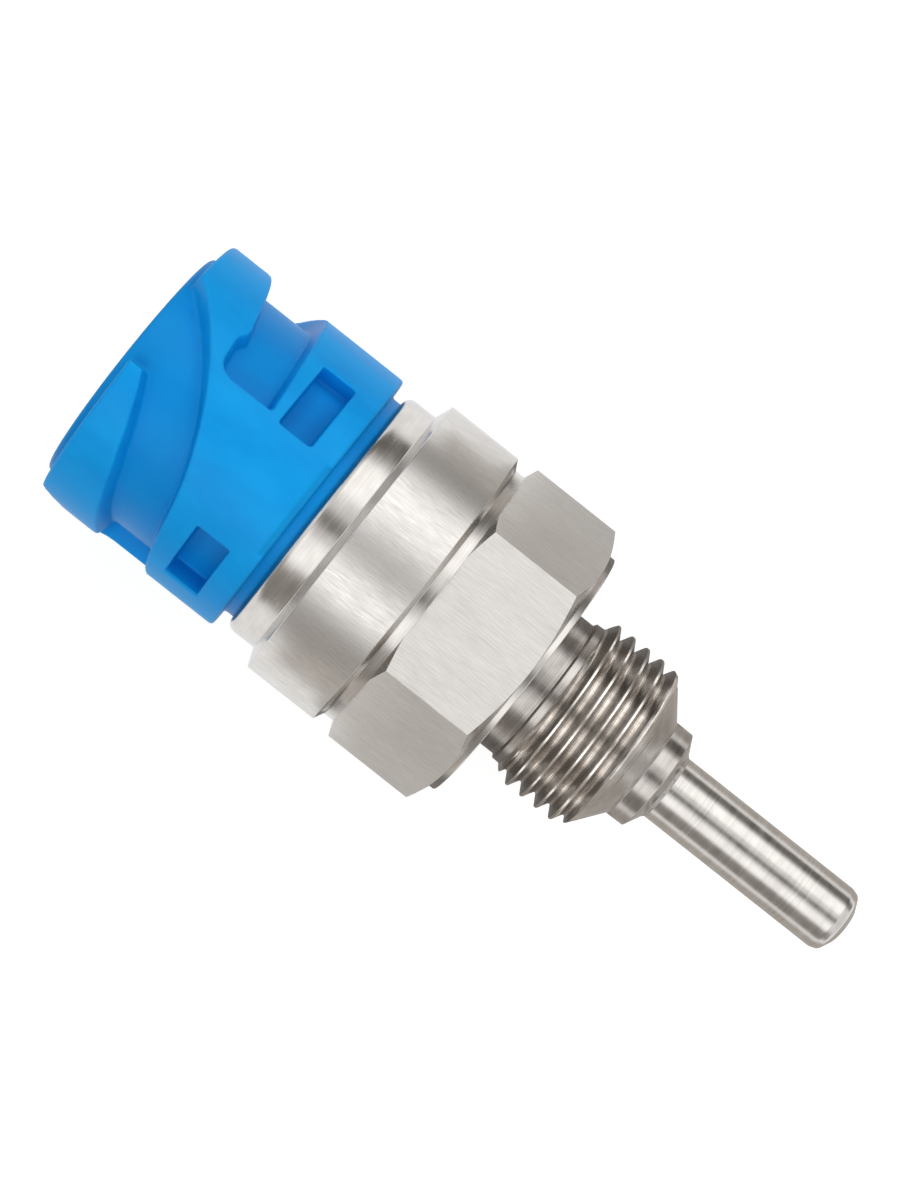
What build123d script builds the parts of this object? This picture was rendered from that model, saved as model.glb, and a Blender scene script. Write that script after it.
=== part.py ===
from build123d import *
import os
from math import cos, radians, sin, tan

# Temperature sender with a bayonet connector, in millimetres. +Z runs along the axis towards
# the connector, and the origin is on the axis at the sealing face under the hexagon. Angles
# round the axis count from -Y, the normal of one hexagon flat, towards +X.

# Threaded nose, below the sealing face
thread_diameter = 16.0
thread_length = 7.7
neck_diameter = 13.3
neck_length = 2.05
nose_cone_length = 2.55
step_diameter = 9.4
step_length = 2.3
step_chamfer = 0.65
step_face_width = 0.45

# Probe
probe_diameter = 6.0
probe_wall = 0.5
probe_floor = 1.5
probe_length = 18.9
probe_seat_length = 10.6
probe_tip_length = 1.0
probe_tip_width = 1.3
weld_leg = 0.35

# Hexagon and turned body, above the sealing face
washer_face_diameter = 24.0
washer_face_height = 0.5
hex_across_flats = 24.0
hex_height = 9.5
hex_chamfer_angle = 24
hex_margin = 1.0
groove_diameter = 25.3
groove_length = 0.9
collar_diameter = 27.05
collar_length = 7.85
collar_low_bevel = 0.45
collar_top_bevel = 0.6
skirt_diameter = 23.95
skirt_length = 2.85
skirt_wall = 0.55
lip_thickness = 0.95
lip_edge = 0.6

# Hollow of the housing
lead_bore_diameter = 7.0
chamber_floor = 4.0
chamber_diameter = 18.6
fit_clearance = 0.05

# Receptacle
flange_height = 4.1
neck_cover = 0.35
ring_length = 0.9
land_diameter = 25.3
land_length = 17.7
land_edge = 0.4
barrel_diameter = 21.7
land_overlap = 0.5
rim_length = 0.7
rim_edge = 0.3
socket_diameter = 18.4
socket_depth = 16.4
socket_mouth_chamfer = 0.5
seal_height = 2.5

# Bayonet grooves: the lower wall has a slight lead where the plug locks and bends up into a
# ramp that steepens evenly towards the mouth
groove_count = 3
lock_height = 8.3
lock_lead = 0.1
ramp_start = -42
ramp_gain = 0.0435
mouth_turn = 50
narrow_turn = -30
throat_turn = -84
throat_width = 6
pocket_end = -104
channel_height = 5.05
throat_height = 4.0
pocket_height = 4.6
groove_stations = 10
cutter_reach = 0.8
nose_turn = -1.3
nose_reach = 25
nose_depth = 1.8

# Relief along the rear edge of the land
relief_turn = -29
relief_reach = 42
relief_length = 1.0
relief_depth = 0.6

# Moulded pockets in the land, as pairs that face each other
pocket_turns = (30, -50)
pocket_width = 6.8
pocket_length = 3.2
pocket_foot = 2.4
pocket_depth = 2.45

# Key in the socket
key_width = 2.0
key_depth = 0.9
key_turn = 180

# Contact pins
pin_diameter = 2.5
pin_spacing = 7.2
pin_height = 12.5
pin_tip = 0.6
tail_length = 4.5
potting_depth = 3.0

# Leads, from the crimp sleeves down to the thermistor
wire_diameter = 1.0
sleeve_diameter = 1.6
lead_spacing = 2.1
lead_straight = 0.75
crimp_wall = 0.4
crimp_length = 2.8
spacer_height = 2.0

# Thermistor and the paste round it
bead_diameter = 3.4
bead_length = 3.6
bead_end = 0.8
bead_gap = 0.4
bead_wire_depth = 0.8
paste_drop = 0.3

# Heights along the axis
thread_top = -neck_length
thread_bottom = thread_top - thread_length
cone_bottom = thread_bottom - nose_cone_length
nose_bottom = cone_bottom - step_length
probe_bottom = nose_bottom - probe_length
probe_bore_bottom = probe_bottom + probe_floor
probe_top = nose_bottom + probe_seat_length
hex_bottom = washer_face_height
hex_top = hex_bottom + hex_height
collar_bottom = hex_top + groove_length
collar_top = collar_bottom + collar_length
skirt_top = collar_top + skirt_length
flange_top = skirt_top - lip_thickness
flange_bottom = flange_top - flange_height
seal_seat = flange_bottom - seal_height
land_bottom = skirt_top + ring_length
land_top = land_bottom + land_length
rim_top = land_top + rim_length
socket_floor = rim_top - socket_depth
tail_bottom = flange_bottom - tail_length
crimp_bottom = tail_bottom - crimp_length / 2
pin_top = socket_floor + pin_height
bead_bottom = probe_bore_bottom + bead_gap
bead_top = bead_bottom + bead_length
wire_bottom = bead_top - bead_wire_depth
paste_top = wire_bottom - paste_drop
spread_bottom = chamber_floor + lead_straight
spread_top = crimp_bottom - lead_straight

# Radii that more than one piece uses
land_radius = land_diameter / 2
barrel_radius = barrel_diameter / 2
probe_radius = probe_diameter / 2
probe_bore_radius = probe_radius - probe_wall
chamber_radius = chamber_diameter / 2
skirt_bore_radius = skirt_diameter / 2 - skirt_wall
flange_radius = skirt_bore_radius - fit_clearance
neck_radius = flange_radius - neck_cover
lead_bore_radius = lead_bore_diameter / 2
wire_radius = wire_diameter / 2
sleeve_radius = sleeve_diameter / 2


# Plane through the axis at an angle round it, with its x outwards and its y up the axis
def radial_plane(turn):
    outwards = Vector(sin(radians(turn)), -cos(radians(turn)), 0)
    return Plane((0, 0, 0), x_dir=outwards, z_dir=outwards.cross(Vector(0, 0, 1)))


# Turned steel housing
with BuildPart() as housing:
    with BuildSketch(Plane.XY.offset(hex_bottom)):
        RegularPolygon(hex_across_flats / 2, 6, major_radius=False)
    extrude(amount=hex_height)
    # Both ends of the hexagon are turned to a cone, from the washer face and from the groove
    with BuildSketch(Plane.XZ):
        cone_radius = hex_across_flats / 2 / cos(radians(30)) + hex_margin
        cone_slope = tan(radians(hex_chamfer_angle))
        low_rise = (cone_radius - washer_face_diameter / 2) * cone_slope
        top_drop = (cone_radius - groove_diameter / 2) * cone_slope
        with BuildLine():
            Polyline(
                (0, hex_bottom),
                (washer_face_diameter / 2, hex_bottom),
                (cone_radius, hex_bottom + low_rise),
                (cone_radius, hex_top - top_drop),
                (groove_diameter / 2, hex_top),
                (0, hex_top),
                close=True,
            )
        make_face()
    revolve(axis=Axis.Z, mode=Mode.INTERSECT)
    # Threaded nose with its washer face and stepped tip
    with BuildSketch(Plane.XZ):
        with BuildLine():
            Polyline(
                (0, hex_bottom),
                (washer_face_diameter / 2, hex_bottom),
                (washer_face_diameter / 2, 0),
                (neck_diameter / 2, 0),
                (neck_diameter / 2, thread_top),
                (thread_diameter / 2, thread_top - (thread_diameter - neck_diameter) / 2),
                (thread_diameter / 2, thread_bottom),
                (step_diameter / 2, cone_bottom),
                (step_diameter / 2, nose_bottom + step_chamfer),
                (probe_radius + step_face_width, nose_bottom),
                (0, nose_bottom),
                close=True,
            )
        make_face()
    revolve(axis=Axis.Z)
    # Groove, collar and the skirt with its rolled lip
    with BuildSketch(Plane.XZ):
        with BuildLine():
            Polyline(
                (0, hex_top),
                (groove_diameter / 2, hex_top),
                (groove_diameter / 2, collar_bottom),
                (collar_diameter / 2, collar_bottom + collar_low_bevel),
                (collar_diameter / 2, collar_top - collar_top_bevel),
                (skirt_diameter / 2, collar_top),
                (skirt_diameter / 2, skirt_top - lip_edge),
                (skirt_diameter / 2 - lip_edge, skirt_top),
                (0, skirt_top),
                close=True,
            )
        make_face()
    revolve(axis=Axis.Z)
    # Stepped hollow, from the probe's seat up to the rolled lip
    with BuildSketch(Plane.XZ):
        with BuildLine():
            Polyline(
                (0, nose_bottom),
                (probe_radius, nose_bottom),
                (probe_radius, probe_top),
                (lead_bore_radius, probe_top),
                (lead_bore_radius, chamber_floor),
                (chamber_radius, chamber_floor),
                (chamber_radius, seal_seat),
                (skirt_bore_radius, seal_seat),
                (skirt_bore_radius, flange_top),
                (neck_radius + fit_clearance, flange_top),
                (neck_radius + fit_clearance, skirt_top),
                (0, skirt_top),
                close=True,
            )
        make_face()
    revolve(axis=Axis.Z, mode=Mode.SUBTRACT)

# Closed probe tube, seated in the nose
with BuildPart() as probe_tube:
    with BuildSketch(Plane.XZ):
        with BuildLine():
            Polyline(
                (probe_radius, probe_bottom + probe_tip_length),
                (probe_radius, probe_top),
                (probe_bore_radius, probe_top),
                (probe_bore_radius, probe_bore_bottom),
                (0, probe_bore_bottom),
                (0, probe_bottom),
                (probe_radius - probe_tip_width, probe_bottom),
                close=True,
            )
        make_face()
    revolve(axis=Axis.Z)

# Ring of weld in the corner between nose and probe
with BuildPart() as probe_weld:
    with BuildSketch(Plane.XZ):
        with BuildLine():
            Polyline(
                (probe_radius, nose_bottom),
                (probe_radius + weld_leg, nose_bottom),
                (probe_radius, nose_bottom - weld_leg),
                close=True,
            )
        make_face()
    revolve(axis=Axis.Z)


# Height of a groove's lower wall at an angle round the axis
def lower_wall(turn):
    run = radians(turn - ramp_start) * land_radius
    return land_bottom + lock_height + lock_lead * run + ramp_gain / 2 * max(run, 0) ** 2


# Height between the walls: it narrows to a throat, and the end pocket is wider again
def groove_height(turn):
    if turn > throat_turn:
        share = min(1, (turn - throat_turn) / (narrow_turn - throat_turn))
        return throat_height + share * (channel_height - throat_height)
    share = min(1, (throat_turn - turn) / throat_width)
    return throat_height + share * (pocket_height - throat_height)


# Radial section of a groove, with the soft edges that it leaves on the land
def groove_section(turn):
    low = lower_wall(turn)
    high = low + groove_height(turn)
    edge_radius = land_radius - land_edge
    with BuildSketch(radial_plane(turn)) as section:
        with BuildLine():
            Polyline(
                (edge_radius, low),
                (barrel_radius - cutter_reach, low),
                (barrel_radius - cutter_reach, high),
                (edge_radius, high),
                (land_radius + cutter_reach, high + land_edge + cutter_reach),
                (land_radius + cutter_reach, low - land_edge - cutter_reach),
                close=True,
            )
        make_face()
    return section.sketch


# Space of one bayonet groove, open at the front and closed at the end of its pocket
with BuildPart() as groove_space:
    step = (pocket_end - mouth_turn) / groove_stations
    loft([groove_section(mouth_turn + step * station) for station in range(groove_stations + 1)])
    # The tip of the land beside the mouth ends square to the rim
    with BuildSketch(radial_plane(nose_turn)):
        with Locations((barrel_radius - cutter_reach, land_top - nose_depth)):
            Rectangle(land_radius / 2, 2 * nose_depth, align=(Align.MIN, Align.MIN))
    revolve(axis=Axis.Z, revolution_arc=nose_reach)

# Space of one moulded pocket, with a flat floor and parallel side walls
with BuildPart() as pocket_space:
    pocket_middle = land_bottom + pocket_foot + pocket_length / 2
    pocket_start = (0, -land_radius - cutter_reach, pocket_middle)
    with BuildSketch(Plane(pocket_start, x_dir=(1, 0, 0), z_dir=(0, 1, 0))):
        Rectangle(pocket_width, pocket_length)
    extrude(amount=cutter_reach + pocket_depth)

# Moulded receptacle, held by its flange
with BuildPart() as connector_body:
    # The lands, down into the barrel that closes the grooves at their floors
    land_root = barrel_radius - land_overlap
    with BuildSketch(Plane.XZ):
        with BuildLine():
            Polyline(
                (land_root, land_bottom),
                (land_root, land_top),
                (land_radius - land_edge, land_top),
                (land_radius, land_top - land_edge),
                (land_radius, land_bottom + land_edge),
                (land_radius - land_edge, land_bottom),
                close=True,
            )
        make_face()
    revolve(axis=Axis.Z)
    with PolarLocations(0, groove_count):
        add(groove_space.part, mode=Mode.SUBTRACT)
    with BuildSketch(radial_plane(relief_turn)):
        with BuildLine():
            Polyline(
                (land_radius - relief_depth, land_bottom),
                (land_radius + relief_length - relief_depth, land_bottom + relief_length),
                (land_radius + relief_length, land_bottom),
                close=True,
            )
        make_face()
    revolve(axis=Axis.Z, revolution_arc=relief_reach, mode=Mode.SUBTRACT)
    # The barrel with its socket, its thick base and the flange
    with BuildSketch(Plane.XZ):
        with BuildLine():
            Polyline(
                (barrel_radius, rim_top - rim_edge),
                (barrel_radius, land_bottom),
                (neck_radius, land_bottom),
                (neck_radius, flange_top),
                (flange_radius, flange_top),
                (flange_radius, flange_bottom),
                (0, flange_bottom),
                (0, socket_floor),
                (socket_diameter / 2, socket_floor),
                (socket_diameter / 2, rim_top - socket_mouth_chamfer),
                (socket_diameter / 2 + socket_mouth_chamfer, rim_top),
                (barrel_radius - rim_edge, rim_top),
                close=True,
            )
        make_face()
    revolve(axis=Axis.Z)
    # The pockets go a little way into the barrel
    for turn in pocket_turns:
        with PolarLocations(0, 2, start_angle=turn):
            add(pocket_space.part, mode=Mode.SUBTRACT)
    # Key in the socket
    with BuildSketch(Plane.XY.offset(socket_floor)):
        with PolarLocations(socket_diameter / 2, 1, start_angle=key_turn - 90):
            Rectangle(2 * key_depth, key_width)
    extrude(amount=pin_height)
    # Seats of the two pins
    with BuildSketch(Plane.XY.offset(flange_bottom)):
        with GridLocations(pin_spacing, 0, 2, 1):
            Circle(pin_diameter / 2)
    extrude(amount=socket_floor - flange_bottom, mode=Mode.SUBTRACT)

# Flat seal, pressed between the flange and its seat
with BuildPart() as housing_seal:
    with BuildSketch(Plane.XY.offset(seal_seat)):
        Circle(skirt_bore_radius)
        Circle(chamber_radius, mode=Mode.SUBTRACT)
    extrude(amount=seal_height)

# Casting compound in the chamber, round the tails of the pins
with BuildPart() as potting:
    with BuildSketch(Plane.XY.offset(flange_bottom)):
        Circle(chamber_radius)
        with GridLocations(pin_spacing, 0, 2, 1):
            Circle(wire_radius, mode=Mode.SUBTRACT)
    extrude(amount=-potting_depth)

# Moulded disc in the mouth of the lead bore, with a hole for each lead
with BuildPart() as wire_spacer:
    with BuildSketch(Plane.XY.offset(chamber_floor)):
        Circle(lead_bore_radius)
        with GridLocations(lead_spacing, 0, 2, 1):
            Circle(sleeve_radius, mode=Mode.SUBTRACT)
    extrude(amount=-spacer_height)

# Thermistor bead with the seats of its two wires
with BuildPart() as thermistor:
    with BuildSketch(Plane.XY.offset(bead_bottom)):
        Circle(bead_diameter / 2)
    extrude(amount=bead_length)
    chamfer(thermistor.edges().filter_by(GeomType.CIRCLE).sort_by(Axis.Z)[0], bead_end)
    with BuildSketch(Plane.XY.offset(wire_bottom)):
        with GridLocations(lead_spacing, 0, 2, 1):
            Circle(wire_radius)
    extrude(amount=bead_length, mode=Mode.SUBTRACT)

# Paste in the tip, round the bead
with BuildPart() as heat_paste:
    with BuildSketch(Plane.XY.offset(probe_bore_bottom)):
        Circle(probe_bore_radius)
    extrude(amount=paste_top - probe_bore_bottom)
    add(thermistor.part, mode=Mode.SUBTRACT)

single_pieces = {
    "housing": housing,
    "probe_tube": probe_tube,
    "probe_weld": probe_weld,
    "connector_body": connector_body,
    "housing_seal": housing_seal,
    "potting": potting,
    "wire_spacer": wire_spacer,
    "thermistor": thermistor,
    "heat_paste": heat_paste,
}
os.makedirs("parts", exist_ok=True)
for label, piece in single_pieces.items():
    piece.part.label = label
    export_step(piece.part, f"parts/{label}.step")

# Each pole has a pin, a crimp, a wire and its sleeve. The wire is straight up to the spacer,
# spreads in the chamber and is straight again in the crimp.
for number, side in enumerate((-1, 1), 1):
    pin_x = side * pin_spacing / 2
    lead_x = side * lead_spacing / 2
    with BuildPart() as contact_pin:
        with BuildSketch(Plane((pin_x, 0, flange_bottom))):
            Circle(pin_diameter / 2)
        extrude(amount=pin_top - flange_bottom)
        chamfer(contact_pin.edges().sort_by(Axis.Z)[-1], pin_tip)
        with BuildSketch(Plane((pin_x, 0, tail_bottom))):
            Circle(wire_radius)
        extrude(amount=tail_length)

    with BuildPart() as crimp_sleeve:
        with BuildSketch(Plane((pin_x, 0, crimp_bottom))):
            Circle(wire_radius + crimp_wall)
            Circle(wire_radius, mode=Mode.SUBTRACT)
        extrude(amount=crimp_length)

    with BuildPart() as lead_wire:
        with BuildLine():
            Polyline(
                (lead_x, 0, wire_bottom),
                (lead_x, 0, spread_bottom),
                (pin_x, 0, spread_top),
                (pin_x, 0, tail_bottom),
            )
        with BuildSketch(Plane((lead_x, 0, wire_bottom))):
            Circle(wire_radius)
        sweep(transition=Transition.RIGHT)

    with BuildPart() as lead_sleeve:
        with BuildSketch(Plane((lead_x, 0, bead_top))):
            Circle(sleeve_radius)
            Circle(wire_radius, mode=Mode.SUBTRACT)
        extrude(amount=chamber_floor - bead_top)

    pole_pieces = {
        "contact_pin": contact_pin,
        "crimp_sleeve": crimp_sleeve,
        "lead_wire": lead_wire,
        "lead_sleeve": lead_sleeve,
    }
    for name, piece in pole_pieces.items():
        piece.part.label = f"{name}_{number}"
        export_step(piece.part, f"parts/{name}_{number}.step")
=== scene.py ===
from math import atan2, cos, hypot, pi, radians, sin, tan

import bpy
from mathutils import Matrix, Vector


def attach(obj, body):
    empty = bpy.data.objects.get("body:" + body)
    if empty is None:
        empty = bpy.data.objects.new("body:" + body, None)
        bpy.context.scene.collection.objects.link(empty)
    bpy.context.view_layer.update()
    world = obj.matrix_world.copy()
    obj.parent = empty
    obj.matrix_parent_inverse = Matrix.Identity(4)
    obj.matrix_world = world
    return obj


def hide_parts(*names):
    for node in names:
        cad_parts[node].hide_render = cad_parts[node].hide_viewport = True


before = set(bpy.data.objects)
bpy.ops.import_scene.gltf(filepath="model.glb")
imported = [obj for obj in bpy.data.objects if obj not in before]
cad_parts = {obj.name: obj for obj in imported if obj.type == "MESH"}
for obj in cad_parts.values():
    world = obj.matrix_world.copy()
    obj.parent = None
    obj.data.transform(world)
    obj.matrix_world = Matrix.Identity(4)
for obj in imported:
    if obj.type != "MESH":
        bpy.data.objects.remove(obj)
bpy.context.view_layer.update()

mm = 0.001

# Distances in metres: points closer together than the first are merged, and points closer to a
# cutting plane than the second count as lying in it
mergeGap = 2e-6
cutGap = 1e-7


# Helpers for modelling

def inObjectMode():
    if bpy.context.mode != "OBJECT":
        bpy.ops.object.mode_set(mode="OBJECT")
    bpy.ops.object.select_all(action="DESELECT")


def pick(piece):
    inObjectMode()
    piece.select_set(True)
    bpy.context.view_layer.objects.active = piece


def editAll(piece):
    pick(piece)
    bpy.ops.object.mode_set(mode="EDIT")
    bpy.ops.mesh.select_all(action="SELECT")


def applyModifier(piece, kind, **settings):
    pick(piece)
    bpy.ops.object.modifier_add(type=kind)
    modifier = piece.modifiers[-1]
    for key, value in settings.items():
        setattr(modifier, key, value)
    bpy.ops.object.modifier_apply(modifier=modifier.name)


def smoothShade(piece, degrees):
    pick(piece)
    bpy.ops.object.shade_smooth_by_angle(angle=radians(degrees))


# Point at a turn round the axis, counted from the camera's side towards +X
def aroundAxis(turn, distance, height=0.0):
    return Vector((sin(radians(turn)) * distance, -cos(radians(turn)) * distance, height))


# A corner point (radius, height, rounding) becomes the points of its arc
def roundedOutline(corners, closed):
    arcStep = radians(18)
    points = []
    count = len(corners)
    for index, (radius, height, rounding) in enumerate(corners):
        isEnd = not closed and index in (0, count - 1)
        if rounding == 0 or isEnd:
            points.append((radius, height))
            continue
        corner = Vector((radius, height))
        before = (Vector(corners[index - 1][:2]) - corner).normalized()
        after = (Vector(corners[(index + 1) % count][:2]) - corner).normalized()
        half = before.angle(after) / 2
        reach = rounding / tan(half)
        centre = corner + (before + after).normalized() * rounding / sin(half)
        start = corner + before * reach - centre
        turn = start.angle_signed(corner + after * reach - centre)
        arcSteps = max(2, round(abs(turn) / arcStep))
        for step in range(arcSteps + 1):
            angle = -turn * step / arcSteps
            spoke = Matrix.Rotation(angle, 2) @ start
            points.append(tuple(centre + spoke))
    return points


# Turns an outline round the axis, ring by ring
def turnRings(name, corners, steps, closed=False):
    outline = roundedOutline(corners, closed)
    inObjectMode()
    radius, height = outline[0]
    bpy.ops.mesh.primitive_circle_add(vertices=steps, radius=radius * mm, location=(0, 0, height * mm))
    piece = bpy.context.object
    piece.name = piece.data.name = name
    bpy.ops.object.transform_apply(location=True, rotation=True, scale=True)
    editAll(piece)
    for nextRadius, nextHeight in outline[1:]:
        rise = (0, 0, (nextHeight - height) * mm)
        bpy.ops.mesh.extrude_region_move(TRANSFORM_OT_translate={"value": rise})
        growth = nextRadius / radius
        bpy.ops.transform.resize(value=(growth, growth, 1), center_override=(0, 0, 0))
        radius, height = nextRadius, nextHeight
    bpy.ops.mesh.select_all(action="DESELECT")
    bpy.ops.mesh.select_non_manifold()
    if closed:
        bpy.ops.mesh.bridge_edge_loops()
    else:
        bpy.ops.mesh.fill_holes(sides=0)
    bpy.ops.mesh.select_all(action="SELECT")
    bpy.ops.mesh.normals_make_consistent(inside=False)
    inObjectMode()
    return piece


# Helpers for materials

class NodeTree:
    def __init__(self, tree):
        self.tree = tree

    def add(self, kind, inputs=None, **settings):
        node = self.tree.nodes.new("ShaderNode" + kind)
        for key, value in settings.items():
            setattr(node, key, value)
        for key, value in (inputs or {}).items():
            self.fill(node.inputs[key], value)
        return node

    # A socket takes a link from another node, or else a constant
    def fill(self, socket, value):
        if isinstance(value, bpy.types.NodeSocket):
            self.tree.links.new(value, socket)
        else:
            socket.default_value = value

    def math(self, operation, first, second=0.0):
        return self.add("Math", {0: first, 1: second}, operation=operation).outputs[0]

    # Noise whose spots are the given lengths in millimetres along the three axes
    def noise(self, vector, spot, detail=3.0, roughness=0.55):
        scale = tuple(1 / (length * mm) for length in spot)
        scaled = self.add("Mapping", {"Vector": vector, "Scale": scale}).outputs[0]
        return self.add("TexNoise", {"Vector": scaled, "Scale": 1.0, "Detail": detail,
                                     "Roughness": roughness}).outputs["Fac"]

    def fit(self, value, span, outLow=0.0, outHigh=1.0):
        return self.add("MapRange", {"Value": value, "From Min": span[0], "From Max": span[1],
                                     "To Min": outLow, "To Max": outHigh}).outputs[0]

    # The first value counts by its share, the second by the rest
    def weigh(self, share, first, second):
        return self.math("ADD", self.math("MULTIPLY", first, share),
                         self.math("MULTIPLY", second, 1 - share))

    def blend(self, factor, first, second):
        node = self.add("Mix", data_type="RGBA")
        self.fill(node.inputs[0], factor)
        self.fill(node.inputs[6], first)
        self.fill(node.inputs[7], second)
        return node.outputs[2]

    # Tones at places from 0 to 1 along a value
    def ramp(self, value, paintedBandTones, tint):
        node = self.add("ValToRGB", {0: value})
        elements = node.color_ramp.elements
        elements[0].position, elements[1].position = paintedBandTones[0][0], paintedBandTones[-1][0]
        middle = [elements.new(place) for place, tone in paintedBandTones[1:-1]]
        for element, (place, tone) in zip([elements[0]] + middle + [elements[-1]], paintedBandTones):
            element.color = rgb(*(tone * part for part in tint))
        return node.outputs[0]

    def bump(self, height, depth):
        return self.add("Bump", {"Height": height, "Strength": 1.0, "Distance": depth * mm}).outputs[0]


def rgb(red, green, blue):
    return (red, green, blue, 1.0)


def startMaterial(name, **constants):
    material = bpy.data.materials.new(name)
    material.use_nodes = True
    nodes = NodeTree(material.node_tree)
    shader = material.node_tree.nodes["Principled BSDF"]
    for key, value in constants.items():
        shader.inputs[key.replace("_", " ")].default_value = value
    place = nodes.add("TexCoord").outputs["Object"]
    return material, nodes, shader, place


# Material of its own nodes, without the usual shader
def bareMaterial(name):
    material = bpy.data.materials.new(name)
    material.use_nodes = True
    tree = material.node_tree
    tree.nodes.remove(tree.nodes["Principled BSDF"])
    return material, NodeTree(tree), tree.nodes["Material Output"].inputs["Surface"]


def feed(nodes, shader, **values):
    for key, value in values.items():
        nodes.tree.links.new(value, shader.inputs[key.replace("_", " ")])


# Radius from the axis and height, for marks that run round the axis
def turnedPlace(nodes, place):
    parts = nodes.add("SeparateXYZ", {0: place})
    flat = nodes.add("CombineXYZ", {"X": parts.outputs[0], "Y": parts.outputs[1]})
    radius = nodes.add("VectorMath", {0: flat.outputs[0]}, operation="LENGTH").outputs["Value"]
    return radius, parts.outputs[2]


# Fine rings round the axis, as a cutting tool leaves them
def toolRings(nodes, radius, height, ring, detail):
    ringPlace = nodes.add("CombineXYZ", {"X": radius, "Z": height}).outputs[0]
    return nodes.noise(ringPlace, (ring,) * 3, detail=detail)


# Steel with fine strokes along the axis, on the collar and the flats
def brushedSteel(name, dark, light, smooth, rough):
    look = {"stroke": (0.065, 0.065, 1.6), "cloud": (3.0, 3.0, 5.0), "strokeShare": 0.75,
            "strokeDepth": 0.0022, "toneSpan": (0.36, 0.62), "roughSpan": (0.35, 0.65), "stretch": 0.5}
    material, nodes, shader, place = startMaterial(name, Metallic=1.0, Anisotropic=look["stretch"])
    stroke = nodes.noise(place, look["stroke"], detail=4.0, roughness=0.65)
    cloud = nodes.noise(place, look["cloud"], detail=2.0)
    tone = nodes.weigh(look["strokeShare"], stroke, cloud)
    feed(nodes, shader,
         Base_Color=nodes.blend(nodes.fit(tone, look["toneSpan"]), dark, light),
         Roughness=nodes.fit(tone, look["roughSpan"], rough, smooth),
         Normal=nodes.bump(stroke, look["strokeDepth"]),
         Tangent=nodes.add("Tangent", direction_type="RADIAL", axis="Z").outputs[0])
    return material


# Turned steel with the fine rings that the tool leaves
def turnedSteel(name, dark, light):
    look = {"ring": 0.09, "smear": (2.5, 2.5, 1.2), "ringShare": 0.5, "smooth": 0.16, "rough": 0.28,
            "ringDepth": 0.0012, "toneSpan": (0.35, 0.65), "roughSpan": (0.3, 0.7)}
    material, nodes, shader, place = startMaterial(name, Metallic=1.0)
    radius, height = turnedPlace(nodes, place)
    ring = toolRings(nodes, radius, height, look["ring"], detail=3.0)
    smear = nodes.noise(place, look["smear"], detail=2.0)
    tone = nodes.weigh(look["ringShare"], ring, smear)
    feed(nodes, shader,
         Base_Color=nodes.blend(nodes.fit(tone, look["toneSpan"]), dark, light),
         Roughness=nodes.fit(tone, look["roughSpan"], look["smooth"], look["rough"]),
         Normal=nodes.bump(ring, look["ringDepth"]))
    return material


# Cut thread, with painted light and shade along its helix: from a crest painted bright, the flank that looks
# to the hexagon painted dark, the root painted bright as a highlight, and the other flank lighter up to the
# next crest
def threadSteel():
    look = {"paintedBandTones": ((0.0, 0.92), (0.06, 0.88), (0.09, 0.34), (0.40, 0.42), (0.43, 0.95), (0.57, 0.95),
                      (0.60, 0.58), (0.90, 0.78), (0.94, 0.88), (1.0, 0.92)),
            "tint": (1.0, 0.94, 0.88), "smear": (0.7, 0.7, 0.5), "wornSpan": (0.35, 0.6), "worn": 0.78,
            "ring": 0.06, "ringDepth": 0.003, "roughSpan": (0.3, 0.7), "smooth": 0.14, "rough": 0.26}
    t = threadSizes
    material, nodes, shader, place = startMaterial("threadSteel", Metallic=1.0)
    radius, height = turnedPlace(nodes, place)
    parts = nodes.add("SeparateXYZ", {0: place})
    around = nodes.math("DIVIDE", nodes.math("ARCTAN2", parts.outputs[1], parts.outputs[0]), 2 * pi)
    fromCrest = nodes.math("DIVIDE", nodes.math("SUBTRACT", height, t["crestHeight"] * mm), t["pitch"] * mm)
    phase = nodes.math("FRACT", nodes.math("SUBTRACT", fromCrest, around))
    smear = nodes.noise(place, look["smear"], detail=4.0)
    ring = toolRings(nodes, radius, height, look["ring"], detail=2.0)
    worn = nodes.fit(smear, look["wornSpan"], look["worn"], 1.0)
    # The ramp's tones are painted light and shade: bright crest and root lines, a dark flank towards the
    # hexagon, a lighter flank below
    tone = nodes.add("VectorMath", {0: nodes.ramp(phase, look["paintedBandTones"], look["tint"]), "Scale": worn},
                     operation="SCALE").outputs[0]
    feed(nodes, shader,
         Base_Color=tone,
         Roughness=nodes.fit(smear, look["roughSpan"], look["rough"], look["smooth"]),
         Normal=nodes.bump(ring, look["ringDepth"]))
    return material


# Satin blue moulding, with faint flow marks, a fine grain, and painted shade in its recesses, where the blue
# darkens the nearer a surface lies to the axis
def satinBlue():
    look = {"deep": rgb(0.002, 0.31, 0.80), "fresh": rgb(0.005, 0.38, 0.89), "paintedRecessShade": rgb(0.001, 0.23, 0.62),
            "deepestShadeRadius": 9.6, "landRadius": 12.4, "flow": (3.0, 3.0, 7.0), "grain": (0.16, 0.16, 0.16),
            "flowSpan": (0.3, 0.7), "smooth": 0.38, "rough": 0.5, "grainDepth": 0.002, "shine": 0.15}
    material, nodes, shader, place = startMaterial("satinBlue", Specular_IOR_Level=look["shine"])
    flow = nodes.noise(place, look["flow"], detail=4.0)
    grain = nodes.noise(place, look["grain"], detail=2.0)
    radius = turnedPlace(nodes, place)[0]
    # Painted shade: the blue darkens from the lands inwards, to its darkest at the deepest radius
    outOfPaintedShade = nodes.fit(radius, (look["deepestShadeRadius"] * mm, look["landRadius"] * mm))
    skin = nodes.blend(nodes.fit(flow, look["flowSpan"]), look["deep"], look["fresh"])
    feed(nodes, shader,
         Base_Color=nodes.blend(outOfPaintedShade, look["paintedRecessShade"], skin),
         Roughness=nodes.fit(flow, look["flowSpan"], look["smooth"], look["rough"]),
         Normal=nodes.bump(grain, look["grainDepth"]))
    return material


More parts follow.
